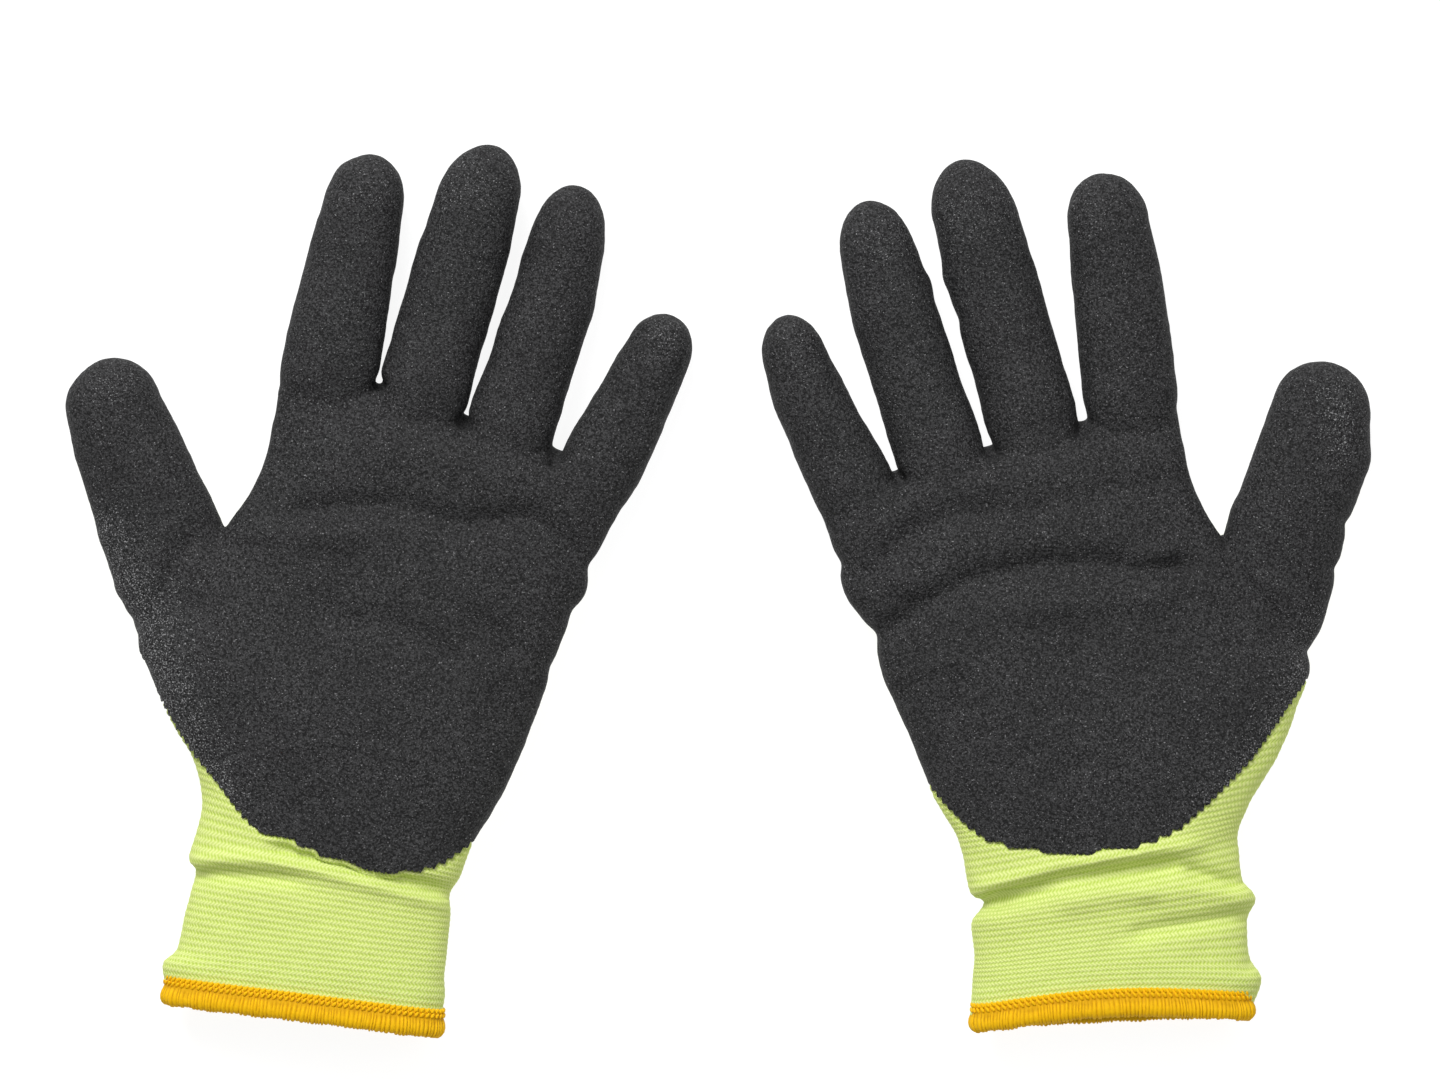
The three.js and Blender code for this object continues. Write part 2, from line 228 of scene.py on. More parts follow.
# Places of the coat's painted highlight specks, most along the heel and the outer edges: half width,
# amount, points.
GLINT_LINES = {
    "left": (
        (9.0, 1.0, ((-80, -58), (-64, -86), (-30, -122))),
        (12.0, 0.4, ((-60, -70), (-50, -90))),
        (7.0, 0.45, ((-89, -16),)),
        (7.0, 0.35, ((-28, 58), (2, 68))),
        (6.0, 0.5, ((63, 36),)),
    ),
    "right": (
        (7.0, 0.8, ((-66, -74), (-48, -100), (-24, -118))),
        (6.0, 0.7, ((-86, -12), (-84, -26))),
        (7.0, 0.35, ((-30, 56), (0, 68), (30, 62))),
        (6.0, 0.4, ((62, 40),)),
    ),
}
# Folds of the knit at the wrist, as the marks above.
SLEEVE_FOLDS = {
    "left": (
        (2.6, 3.2, ((-14, -134.5), (-7, -133.7), (5, -133.2), (22, -133.5), (44, -134.5))),
        (2.4, -1.6, ((-36, -144.5), (-22, -139.8), (-9.6, -137.2), (1.4, -136.4), (44, -137.2))),
        (2.4, 1.7, ((-44, -151), (-26, -145.4), (-12, -142.5), (2, -140.5))),
        (2.2, 1.4, ((-38, -170), (-29, -169.4))),
    ),
    "right": (
        (2.8, 3.4, ((50, -128.4), (38, -128.8), (24, -127.8), (9.6, -129.4), (-11.5, -131.9))),
        (2.2, 2.4, ((-8, -131.5), (-18, -138), (-28, -144))),
        (2.2, -1.2, ((52, -124.6), (27, -124), (0, -125.4), (-19, -127.5))),
        (3.4, -1.2, ((30, -134), (10, -135.5), (-4, -137))),
        (2.6, 2.0, ((12, -147.3), (-2, -148.2), (-30, -151))),
        (3.2, -1.3, ((8, -137), (-12, -140), (-30, -146))),
        (2.0, 1.2, ((-26, -166), (-18, -165))),
    ),
}
FOLDS_FADE = 2.5  # distance over which the folds fade out under the coat

ROUND_LOFT = 72  # points around a finger or the palm before the shell is made
SLEEVE_AROUND = 168
ROWS_PER_RIB = 4
WALES_AROUND = 160  # knitted stitches around the cuff
SQUARENESS = {"palm": 2.9, "finger": 2.3, "cuff": 2.6}
HEM_HALF_WIDTH = 39.5
HEM_HALF_HEIGHT = 12.6
HEM_CENTRE_Z = 14.6
# Closed section of the hem: out from the mouth's line, along towards the fingers, thread depth.
HEM_SECTION = (
    (0.2, 3.3, 0.1), (0.9, 2.6, 0.1), (1.0, 1.4, 0.1), (1.2, 0.5, 0.5), (1.5, -0.4, 0.9),
    (1.8, -1.2, 1.0), (2.0, -2.2, 1.0), (1.9, -3.2, 1.0), (1.4, -4.1, 1.0), (0.6, -4.7, 1.0),
    (-0.3, -4.8, 1.0), (-1.0, -4.3, 1.0), (-1.3, -3.4, 1.0), (-1.4, -2.2, 0.9),
    (-1.3, -1.0, 0.6), (-1.1, 0.6, 0.3), (-0.9, 2.0, 0.3), (-0.5, 3.0, 0.3),
)
HEM_CHAINS = ((2.6, 1.05), (1.2, 1.25))  # along, out from the mouth's line
CHAIN_LOOP = (0.98, 0.5, 0.46)  # half sizes of a loop: forward, along the wrist, outwards
CHAIN_LEAN = 0.45  # radians
HEM_CORE = (0.3, -1.8)  # middle of the hem's section: the threads swell away from it
THREAD_SWELL, THREAD_SINK = 0.62, 0.34
THREAD_WIDTHS, THREAD_HEIGHTS = (0.6, 1.5), (0.6, 1.3)  # spread from thread to thread
THREAD_LEAN, THREAD_LUMPS = (0.28, 9), (0.12, 13)  # size, and waves around the hem
CHAIN_ZIGZAG = 0.25
# The painted shade between the hem's threads comes from how far each point stands out.
HOLLOW_START, HOLLOW_GAIN = 0.55, 5.0  # from a point's standing out to the colour between threads
# Fingers: how blunt the tips are from above and from the side, and the size of the buried places.
TIP_POWERS = (2.4, 2.8)
BURIED_SHARES = (0.45, 0.86, 1.0)
THINNEST = 0.3  # smallest half size of a finger's section
SMOOTHING = 7.0  # passes over a joined shell times its mesh size
# Pits at the webs: half width, then depth in the coat and in the lining.
PIT_WIDTH, PIT_DEPTH, LINING_PIT_DEPTH = 2.4, 3.2, 3.8
WEB_PRESS = (7.0, 1.6)  # half width and depth of the lining's dips under the coat's webs
# Heights over the table between which marks fade in.
CREASE_HEIGHTS, FOLD_HEIGHTS = (6.0, 15.0), (10.0, 20.0)
PIT_HEIGHTS, PRESS_HEIGHTS = (5.0, 9.0), (7.0, 12.0)
NEAR_EDGE = 3.0  # finer mesh within this distance of the coat's edge
THUMB_REACH, FINGER_MARGIN, NEAR_CUT = 22.0, 3.0, 4.0  # how far a finger's cuts go
LINING_CUT, LINING_ZONE = 0.2, -60.0  # past the sleeve's top; only faces under this v are cut
COAT_WALL = 0.85  # share of the coat's thickness kept as its wall
PEBBLE_RELIEF = 0.09
CUFF_HALF_WIDTH, CUFF_HALF_HEIGHT = 39.0, 13.0
SLEEVE_DEPTH, SLEEVE_WALL = 1.3, 1.1  # how far the sleeve sinks, and its thickness
SINK_FADE, SINK_HEIGHTS = (-1.5, 1.0), (8.0, 12.0)  # where: over the coat's edge, and low down
# Sizes of surface patterns, in metres; the filaments are drawn coarser than real ones.
STITCH_WIDTH, STITCH_LENGTH = 0.0012, 0.0009
PATCH, FUZZ, FILAMENT = 1 / 55, 1 / 1400, 1 / 900
V_LEAN = 0.3  # sideways swing of the ribs' V stitches, in stitches


def length(name, description, default):
    """A length setting with its default in metres."""
    return bpy.props.FloatProperty(name=name, description=description, default=default, unit="LENGTH")


class GloveSizes(bpy.types.PropertyGroup):
    """Sizes of the knit, the coat and the hem, in metres."""

    coat: length("Coat", "Thickness of the foam coat", 0.0009)
    lining: length("Lining", "Thickness of the knitted lining", 0.0013)
    grain: length("Grain", "Size of the coat's pebbles", 0.0008)
    rib: length("Rib pitch", "Distance from rib to rib", 0.0018)
    rib_height: length("Rib height", "Height of a rib over the groove", 0.00013)
    thread: length("Thread pitch", "Distance between the hem's threads", 0.0011)
    chain_loop: length("Chain loop", "Length of one loop of the hem's chain", 0.0017)
    coat_voxel: length("Coat mesh", "Mesh size of the coat", 0.0010)
    lining_voxel: length("Lining mesh", "Mesh size of the lining", 0.0011)


def srgb(code):
    """Turns an sRGB hex colour into linear red, green and blue."""
    values = [int(code[i:i + 2], 16) / 255 for i in (1, 3, 5)]
    return tuple(v / 12.92 if v <= 0.04045 else ((v + 0.055) / 1.055) ** 2.4 for v in values)


def colour(name, description, code):
    """A colour setting with its default as sRGB hex."""
    return bpy.props.FloatVectorProperty(
        name=name, description=description, default=srgb(code), subtype="COLOR", min=0, max=1)


class GloveColours(bpy.types.PropertyGroup):
    """Colours of the gloves."""

    # The coat's dark colour is painted shade: the near-black in the pits between the pebbles.
    coat_dark: colour("Coat, dark", "Colour between the coat's pebbles", "#040405")
    coat_light: colour("Coat, light", "Colour on the coat's pebbles", "#3c3c3d")
    # The specks' colour is painted highlight: light specks on the pebbles that stand in for glints.
    coat_glint: colour("Coat, specks", "Colour of the broken pebbles", "#858586")
    # The knit's dark colour is the knit in shade: painted shade in the cuff's grooves and between the
    # lining's stitches.
    knit_dark: colour("Knit, dark", "Colour in the knit's grooves", "#abc346")
    knit_light: colour("Knit, light", "Colour of the knit's ribs", "#d6e090")
    # The hem's dark colour is painted shade between the threads; the random tone of the fibres also
    # reaches towards it.
    yarn_dark: colour("Hem, dark", "Colour between the hem's threads", "#a87200")
    yarn_light: colour("Hem, light", "Colour of the hem's threads", "#e9b608")
    floor: colour("Floor", "Colour of the studio floor", "#808080")


# ---------------------------------------------------------------- frames and small tools

def hand_matrix(side):
    """The matrix from a glove's hand frame, in millimetres, to the shared frame, in metres."""
    joint = JOINTS[f"{side}_middle_root_bend"]
    mirrored = side == "right"
    finger = Vector((0, 0, 1)).cross(Vector(joint["axis"]))
    along = finger.normalized()
    across = along.cross(Vector((0, 0, 1))) * (-1 if mirrored else 1)
    root = Vector(joint["pos_m"])
    origin = Vector((root.x, root.y, 0)) - along * MIDDLE_ROOT_V * MM
    matrix = Matrix.Identity(4)
    for i, axis in enumerate((across, along, Vector((0, 0, 1)))):
        matrix.col[i].xyz = axis * MM
    matrix.col[3].xyz = origin
    return matrix


def finger_line(side, finger):
    """Root and direction of a finger in the hand frame, and the distance to its middle joint."""
    inverse = hand_matrix(side).inverted()
    root = inverse @ Vector(JOINTS[f"{side}_{finger}_root_bend"]["pos_m"])
    middle = inverse @ Vector(JOINTS[f"{side}_{finger}_middle_bend"]["pos_m"])
    step = (middle - root).to_2d()
    return np.array(root.to_2d()), np.array(step.normalized()), step.length


def spline(values, places):
    """Smooth curve through equally spaced rows of values, read at places counted in rows."""
    values = np.asarray(values, float)
    values = values.reshape(len(values), -1)
    places = np.clip(np.asarray(places, float), 0, len(values) - 1)
    low = np.minimum(places.astype(int), len(values) - 2)
    part = (places - low)[:, None]
    ends = np.vstack((2 * values[0] - values[1], values, 2 * values[-1] - values[-2]))
    a, b, c, d = (ends[low + i] for i in range(4))
    return b + part * ((c - a) / 2 + part * ((2 * a - 5 * b + 4 * c - d) / 2
                       + part * (3 * b - a - 3 * c + d) / 2))


def smoothstep(low, high, value):
    """Goes from 0 at low to 1 at high without a corner."""
    share = np.clip((value - low) / (high - low), 0, 1)
    return share * share * (3 - 2 * share)


def section(angles, squareness):
    """Unit superellipse: from the side at angle 0 over the top."""
    c, s = np.cos(angles), np.sin(angles)
    return (np.sign(c) * np.abs(c) ** (2 / squareness), np.sign(s) * np.abs(s) ** (2 / squareness))


def even_angles(count, squareness, half_width, half_height):
    """Angles that are equally spaced along a superellipse, starting at its side."""
    fine = np.linspace(0, 2 * np.pi, 4001)
    x, z = section(fine, squareness)
    steps = np.hypot(np.diff(x * half_width), np.diff(z * half_height))
    length = np.concatenate(([0], np.cumsum(steps)))
    return np.interp(np.linspace(0, length[-1], count + 1), length, fine), length[-1]


def coordinates(bm):
    """The places of a mesh's points as an array."""
    return np.array([vert.co for vert in bm.verts], float).reshape(-1, 3)


def place_points(bm, places):
    """Puts a mesh's points at the given places."""
    for vert, place in zip(bm.verts, places.tolist()):
        vert.co = place


def wrap_grid(rows, columns, place, closed_rows=False):
    """A grid bent into a tube: place gets a row number and a column number, both as arrays."""
    bm = bmesh.new()
    bm.loops.layers.uv.new("UVMap")
    bmesh.ops.create_grid(bm, x_segments=columns, y_segments=rows, size=0.5, calc_uvs=True)
    flat = coordinates(bm) + 0.5
    row = np.rint(flat[:, 1] * rows)
    column = np.rint(flat[:, 0] * columns)
    column_turn = np.where(column == columns, 0, column)
    row_turn = np.where(row == rows, 0, row) if closed_rows else row
    place_points(bm, place(row_turn, column_turn))
    bmesh.ops.remove_doubles(bm, verts=bm.verts, dist=1e-5)
    return bm


def close_ends(bm):
    """Closes the open ends of a tube and turns its faces outwards."""
    bmesh.ops.holes_fill(bm, edges=[edge for edge in bm.edges if edge.is_boundary], sides=0)
    bmesh.ops.recalc_face_normals(bm, faces=bm.faces)
    return bm


def distance_to_line(points, line):
    """Distance of points from a line seen from above, and of the nearest places from its ends."""
    line = np.asarray(line, float)
    best = np.linalg.norm(points - line[0], axis=1)
    travelled = np.zeros(len(points))
    length = 0.0
    for start, end in zip(line[:-1], line[1:]):
        step = end - start
        share = np.clip((points - start) @ step / (step @ step), 0, 1)
        away = np.linalg.norm(points - start - share[:, None] * step, axis=1)
        nearer = away < best
        best = np.where(nearer, away, best)
        travelled = np.where(nearer, length + share * np.linalg.norm(step), travelled)
        length += np.linalg.norm(step)
    return best, np.minimum(travelled, length - travelled)


def press(points, marks):
    """Depth that the marks press into the surface, fading out towards the ends of a line."""
    depth = np.zeros(len(points))
    for half_width, amount, line in marks:
        away, from_end = distance_to_line(points[:, :2], line)
        fade = smoothstep(-MARK_FADE / 4, MARK_FADE, from_end) if len(line) > 1 else 1.0
        depth += amount * fade * np.exp(-(away / half_width) ** 2)
    return depth


def roughness_field(points, size, seed):
    """Smooth noise over the points, about -1 to 1, with swells of the given size."""
    shift = Vector((seed * 7.3, seed * 3.1, seed * 5.7))
    return np.array([noise.noise(Vector(p) / size + shift) for p in points.tolist()])


def unevenness(points):
    """Depth of the soft unevenness that the cloth has everywhere."""
    return sum(depth * roughness_field(points, size, seed) for depth, size, seed in CLOTH_SWELLS)


def lay_down(bm):
    """Keeps a mesh's points over the surface that the glove lies on."""
    for vert in bm.verts:
        vert.co.z = max(vert.co.z, REST_GAP)


def normals(bm):
    """The directions of a mesh's points as an array."""
    bm.normal_update()
    return np.array([vert.normal for vert in bm.verts], float).reshape(-1, 3)


def cut_level(bm, faces, level):
    """Cuts the faces along the line where the level function passes zero."""
    layer = bm.verts.layers.float_vector.new("place")
    verts = list({vert for face in faces for vert in face.verts})
    edges = list({edge for face in faces for edge in face.edges})
    for vert in bm.verts:
        vert[layer] = vert.co
    levels = level(np.array([vert.co for vert in verts], float))
    for vert, value in zip(verts, levels.tolist()):
        vert.co.z = value
    bmesh.ops.bisect_plane(
        bm, geom=verts + edges + faces, dist=1e-4, plane_co=(0, 0, 0), plane_no=(0, 0, 1))
    for vert in bm.verts:
        vert.co = vert[layer]
    bm.verts.layers.float_vector.remove(layer)


def centres(faces):
    """Middles of the faces as an array."""
    return np.array([face.calc_center_median() for face in faces], float).reshape(-1, 3)


def thicken(bm, thickness):
    """Gives an open skin a wall on its inner side, with sharp rims."""
    inner = bm.verts[:]
    places = coordinates(bm) - normals(bm) * thickness
    bmesh.ops.extrude_face_region(bm, geom=bm.faces[:], use_keep_orig=True)
    for vert, place in zip(inner, places.tolist()):
        vert.co = place
    bmesh.ops.recalc_face_normals(bm, faces=bm.faces)
    for edge in bm.edges:
        edge.smooth = edge.calc_face_angle(0) < SHARP_ANGLE


def make_object(bm, name, side, material):
    """Puts a mesh from the hand frame into the scene as a piece with its material."""
    bmesh.ops.transform(bm, matrix=hand_matrix(side), verts=bm.verts)
    if side == "right":
        bmesh.ops.reverse_faces(bm, faces=bm.faces)
    for face in bm.faces:
        face.smooth = True
    mesh = bpy.data.meshes.new(name)
    bm.to_mesh(mesh)
    bm.free()
    piece = bpy.data.objects.new(name, mesh)
    bpy.context.scene.collection.objects.link(piece)
    mesh.materials.append(material)
    return piece


# ---------------------------------------------------------------- materials

def add_node(tree, kind, settings=None, links=None, output=0):
    """Adds a node, sets its values, links its inputs and gives one of its outputs."""
    node = tree.nodes.new("ShaderNode" + kind)
    for key, value in (settings or {}).items():
        if isinstance(key, int) or key in node.inputs:
            node.inputs[key].default_value = value
        else:
            setattr(node, key, value)
    for key, source in (links or {}).items():
        tree.links.new(source, node.inputs[key])
    return node.outputs[output]


def new_material(name, roughness, specular, sheen=0.0, sheen_tint=(1, 1, 1)):
    """An empty material with its shader's uniform values, and its tree."""
    material = bpy.data.materials.new(name)
    material.use_nodes = True
    inputs = material.node_tree.nodes["Principled BSDF"].inputs
    inputs["Roughness"].default_value = roughness
    inputs["Specular IOR Level"].default_value = specular
    inputs["Sheen Weight"].default_value = sheen
    inputs["Sheen Tint"].default_value = (*sheen_tint, 1)
    return material, material.node_tree


def link_shader(material, colours, height, strength, distance):
    """Gives a material its colours and its relief, whose full height is a distance in metres."""
    tree = material.node_tree
    inputs = tree.nodes["Principled BSDF"].inputs
    relief = {"Strength": strength, "Distance": distance}
    tree.links.new(colours, inputs["Base Color"])
    tree.links.new(add_node(tree, "Bump", relief, {"Height": height}), inputs["Normal"])
    return material


def foam_nitrile():
    """Foamed nitrile, dipped and cured: matt and pebbled, with painted shade in the pits between the
    pebbles and painted highlight specks on the pebbles.
    """
    grain, colours = bpy.context.scene.glove_sizes.grain, bpy.context.scene.glove_colours
    material, tree = new_material("sandy_foam_nitrile", 0.78, 0.35)
    place = {"Vector": add_node(tree, "TexCoord", output="Object")}
    pebbles = add_node(
        tree, "TexNoise", {"Scale": 1 / grain, "Detail": 2.0, "Roughness": 0.6}, place)
    grit = add_node(tree, "TexVoronoi", {"Scale": 1 / (0.75 * grain)}, place)
    patches = add_node(tree, "TexNoise", {"Scale": 1 / PATCH, "Detail": 3.0}, place)
    sparse = add_node(tree, "TexNoise", {"Scale": 1.7 / grain, "Detail": 1.0}, place)
    glint_attribute = add_node(tree, "Attribute", {"attribute_name": "wear_and_glint"}, output="Fac")
    # The pebbles' height also sets the colour: painted shade, darkest in the pits between the pebbles.
    height = add_node(tree, "Math", {"operation": "MULTIPLY_ADD", 1: -0.45}, {0: grit, 2: pebbles})
    tone = add_node(tree, "MapRange", {"From Min": 0.14, "From Max": 0.52}, {"Value": height})
    wear_and_glint = add_node(
        tree, "MapRange", {"From Min": 0.35, "From Max": 0.7, "To Min": 0.82, "To Max": 1.12},
        {"Value": patches})
    shade_and_glint = add_node(tree, "Math", {"operation": "MULTIPLY"}, {0: tone, 1: wear_and_glint})
    foam = add_node(
        tree, "Mix",
        {"data_type": "RGBA", 6: (*colours.coat_dark, 1), 7: (*colours.coat_light, 1)}, {0: shade_and_glint}, 2)
    # Painted highlights: sparse light specks on the pebbles, stronger at the places listed for them.
    glinting = add_node(tree, "Math", {"operation": "MULTIPLY_ADD", 1: 0.11}, {0: glint_attribute, 2: sparse})
    glint_mask = add_node(tree, "MapRange", {"From Min": 0.66, "From Max": 0.8}, {"Value": glinting})
    glinted = add_node(
        tree, "Mix", {"data_type": "RGBA", 7: (*colours.coat_glint, 1)},
        {0: glint_mask, 6: foam}, 2)
    return link_shader(material, glinted, height, 1.0, 0.5 * grain)


def wave(tree, value, turns, shift=0.0):
    """A sine of a value: turns waves for each unit of it."""
    phase = add_node(
        tree, "Math", {"operation": "MULTIPLY_ADD", 1: 2 * math.pi * turns, 2: shift},
        {0: value})
    return add_node(tree, "Math", {"operation": "SINE"}, {0: phase})


def ribbed_knit(courses):
    """Ribbed polyester knit: soft ribs with rows of small V stitches, with painted shade in the grooves
    and between the stitches.
    """
    colours = bpy.context.scene.glove_colours
    material, tree = new_material("ribbed_polyester_knit", 0.85, 0.25, 0.25, colours.knit_light)
    uv = {0: add_node(tree, "TexCoord", output="UV")}
    around = add_node(tree, "SeparateXYZ", None, uv)
    along = add_node(tree, "SeparateXYZ", None, uv, 1)
    place = {"Vector": add_node(tree, "TexCoord", output="Object")}
    fuzz = add_node(tree, "TexNoise", {"Scale": 1 / FUZZ, "Detail": 2.0}, place)
    rib = wave(tree, along, courses, math.pi / 2)
    lean = add_node(
        tree, "Math", {"operation": "MULTIPLY_ADD", 1: V_LEAN / WALES_AROUND},
        {0: wave(tree, along, courses), 2: around})
    stitch = wave(tree, lean, WALES_AROUND)
    rib_share = add_node(tree, "MapRange", {"From Min": -1.0, "From Max": 0.7}, {"Value": rib})
    # Painted shade: darker in the grooves between the ribs and in the gaps between the V stitches.
    gap_and_groove_shade = add_node(
        tree, "Math", {"operation": "MULTIPLY_ADD", 1: 0.75}, {0: stitch, 2: rib_share})
    shade = add_node(tree, "Math", {"operation": "MULTIPLY", 1: 0.42}, {0: gap_and_groove_shade})
    tone = add_node(
        tree, "Math", {"operation": "MULTIPLY_ADD", 1: 0.75, "use_clamp": True},
        {0: fuzz, 2: shade})
    knit = add_node(
        tree, "Mix",
        {"data_type": "RGBA", 6: (*colours.knit_dark, 1), 7: (*colours.knit_light, 1)}, {0: tone}, 2)
    return link_shader(material, knit, tone, 0.6, 0.00026)


def jersey_knit():
    """Plain jersey knit of polyester: a fine even field of stitches, with painted shade between them.
    """
    colours = bpy.context.scene.glove_colours
    material, tree = new_material("polyester_jersey_knit", 0.88, 0.2, 0.2, colours.knit_light)
    place = {0: add_node(tree, "TexCoord", output="Object")}
    across = add_node(tree, "SeparateXYZ", None, place)
    along = add_node(tree, "SeparateXYZ", None, place, 1)
    wales = wave(tree, across, 1 / STITCH_WIDTH)
    half = add_node(tree, "Math", {"operation": "MULTIPLY", 1: 0.5}, {0: wales})
    both = add_node(
        tree, "Math", {"operation": "MULTIPLY_ADD"},
        {0: wales, 1: wave(tree, along, 1 / STITCH_LENGTH), 2: half})
    # Painted shade between the stitches: the troughs of the stitch waves take the knit's dark colour.
    tone = add_node(tree, "MapRange", {"From Min": -1.2, "From Max": 1.0}, {"Value": both})
    knit = add_node(
        tree, "Mix",
        {"data_type": "RGBA", 6: (*colours.knit_dark, 1), 7: (*colours.knit_light, 1)}, {0: tone}, 2)
    return link_shader(material, knit, tone, 0.6, 0.0003)


def overlock_yarn():
    """Textured polyester yarn: fine filaments, a little lustre, and painted shade where threads meet.
    """
    colours = bpy.context.scene.glove_colours
    material, tree = new_material("textured_overlock_yarn", 0.7, 0.15, 0.05, colours.yarn_light)
    place = {"Vector": add_node(tree, "TexCoord", output="Object")}
    fibre = add_node(tree, "TexNoise", {"Scale": 1 / FILAMENT, "Detail": 3.0}, place)
    # The thread attribute is painted shade: low in the hollows between the threads.
    groove = add_node(tree, "Attribute", {"attribute_name": "thread"}, output="Fac")
    shade = add_node(tree, "Math", {"operation": "MULTIPLY_ADD", 1: 0.9, 2: -0.15}, {0: groove})
    tone = add_node(
        tree, "Math", {"operation": "MULTIPLY_ADD", 1: 0.5, "use_clamp": True},
        {0: fibre, 2: shade})
    yarn = add_node(
        tree, "Mix",
        {"data_type": "RGBA", 6: (*colours.yarn_dark, 1), 7: (*colours.yarn_light, 1)}, {0: tone}, 2)
    return link_shader(material, yarn, fibre, 0.4, 0.0002)


# ---------------------------------------------------------------- hand shells

def outline_ring(side, lines, angles, inset, squareness):
    """Points of the hand's outline, for a place in the outline's lines and an angle for each."""
    data = [(*thumb, *little, height) for thumb, little, height in OUTLINE[side]]
    values = spline(data, lines)
    thumb, little, height = values[:, 0:2], values[:, 2:4], values[:, 4]
    across = little - thumb
    width = np.linalg.norm(across, axis=1)
    c, s = section(angles, squareness)
    out = (thumb + little) / 2 + across / width[:, None] * ((width / 2 - inset) * c)[:, None]
    z = height / 2 + (height / 2 - inset) * s
    up = np.column_stack((-across[:, 1], across[:, 0])) / width[:, None]
    bow = BOW[side] * (1 - c ** 2) * np.maximum(s, 0) * (1 - smoothstep(0, BOW_ENDS, lines))
    return np.column_stack((out + up * bow[:, None], z))


def palm_loft(side, coat):
    """Closed body of the palm and the wrist, inside the coat."""
    rows = 80
    last = len(OUTLINE[side]) - 1
    angles = np.linspace(0, 2 * np.pi, ROUND_LOFT + 1)

    def place(row, column):
        lines = SHELL_START[side] + (last - SHELL_START[side]) * row / rows
        return outline_ring(side, lines, angles[column.astype(int)], coat, SQUARENESS["palm"])

    return close_ends(wrap_grid(rows, ROUND_LOFT, place))


def finger_loft(side, finger, coat):
    """Closed body of one finger inside the coat, starting inside the palm."""
    root, along, _ = finger_line(side, finger)
    across = np.array((along[1], -along[0]))
    root_width, middle_width, upper_width, height, length, lean = FINGER_SHAPES[side][finger]
    buried = BURIED["thumb" if finger == "thumb" else "finger"]
    dome = [DOME_START + (1 - DOME_START) * math.sin(math.pi / 2 * i / 10) for i in range(1, 11)]
    shares = [place / length for place in buried] + [0, 0.12, 0.25, 0.38, 0.5, 0.61, DOME_START] + dome
    shares = np.array(shares)
    widths = np.interp(
        shares, (0, 0.25, 0.5, DOME_START, 1),
        (root_width, (root_width + middle_width) / 2, middle_width, upper_width, upper_width))
    past = np.clip((shares - DOME_START) / (1 - DOME_START), 0, 0.9995)
    narrowing, thinning = ((1 - past ** power) ** 0.5 for power in TIP_POWERS)
    deep = np.interp(shares * length, buried, BURIED_SHARES)
    half_widths = np.maximum((widths * narrowing / 2 - coat) * deep, THINNEST)
    half_heights = np.maximum((height * thinning / 2 - coat) * deep, THINNEST)
    leans = np.interp(shares, (0, 0.5, 1), lean)
    data = np.column_stack((shares * length, leans, half_widths, half_heights))
    rows = 3 * (len(shares) - 1)
    angles = np.linspace(0, 2 * np.pi, ROUND_LOFT + 1)

    def place(row, column):
        values = spline(data, row / rows * (len(shares) - 1))
        c, s = section(angles[column.astype(int)], SQUARENESS["finger"])
        sideways = values[:, 1] + values[:, 2] * c
        out = root + values[:, 0][:, None] * along + sideways[:, None] * across
        return np.column_stack((out, height / 2 + values[:, 3] * s))

    return close_ends(wrap_grid(rows, ROUND_LOFT, place))


def joined_shell(side, coat, voxel):
    """The palm and the fingers grown into one skin with even faces."""
    whole = bpy.data.meshes.new("shell")
    joined = bmesh.new()
    for loft in (palm_loft(side, coat), *(finger_loft(side, finger, coat) for finger in FINGERS)):
        loft.to_mesh(whole)
        loft.free()
        joined.from_mesh(whole)
    joined.to_mesh(whole)
    joined.free()
    body = bpy.data.objects.new("shell", whole)
    bpy.context.scene.collection.objects.link(body)
    remesh = body.modifiers.new("grow", "REMESH")
    remesh.mode = "VOXEL"
    remesh.voxel_size = voxel
    evaluated = body.evaluated_get(bpy.context.evaluated_depsgraph_get())
    bm = bmesh.new()
    bm.from_mesh(evaluated.to_mesh())
    evaluated.to_mesh_clear()
    bpy.data.objects.remove(body)
    bpy.data.meshes.remove(whole)
    for _ in range(int(round(SMOOTHING / voxel))):
        bmesh.ops.smooth_vert(
            bm, verts=bm.verts, factor=0.5, use_axis_x=True, use_axis_y=True, use_axis_z=True)
    return bm


def wrinkle(bm, side, pit_depth):
    """Presses the creases, dents and web pits into a shell and gives it the unevenness of cloth."""
    places = coordinates(bm)
    out = normals(bm)
    top = smoothstep(*CREASE_HEIGHTS, places[:, 2])
    depth = CREASE_STRENGTH * press(places, MARKS[side]) * top
    depth += press(places, DENTS[side])
    pits = [(PIT_WIDTH, pit_depth, (pit,)) for pit in WEB_PITS[side]]
    depth += press(places, pits) * smoothstep(*PIT_HEIGHTS, places[:, 2])
    depth += unevenness(places)
    place_points(bm, places - out * depth[:, None])


def trim(bm, faces, level):
    """Cuts faces along a level line and drops everything under it."""
    cut_level(bm, faces, level)
    under = level(centres(bm.faces)) < 0
    bmesh.ops.delete(bm, geom=list(compress(bm.faces, under)), context="FACES")


def off_line(side, finger, places):
    """How far places lie to the side of a finger's line."""
    root, along, _ = finger_line(side, finger)
    return np.abs((places[:, :2] - root) @ np.array((along[1], -along[0])))


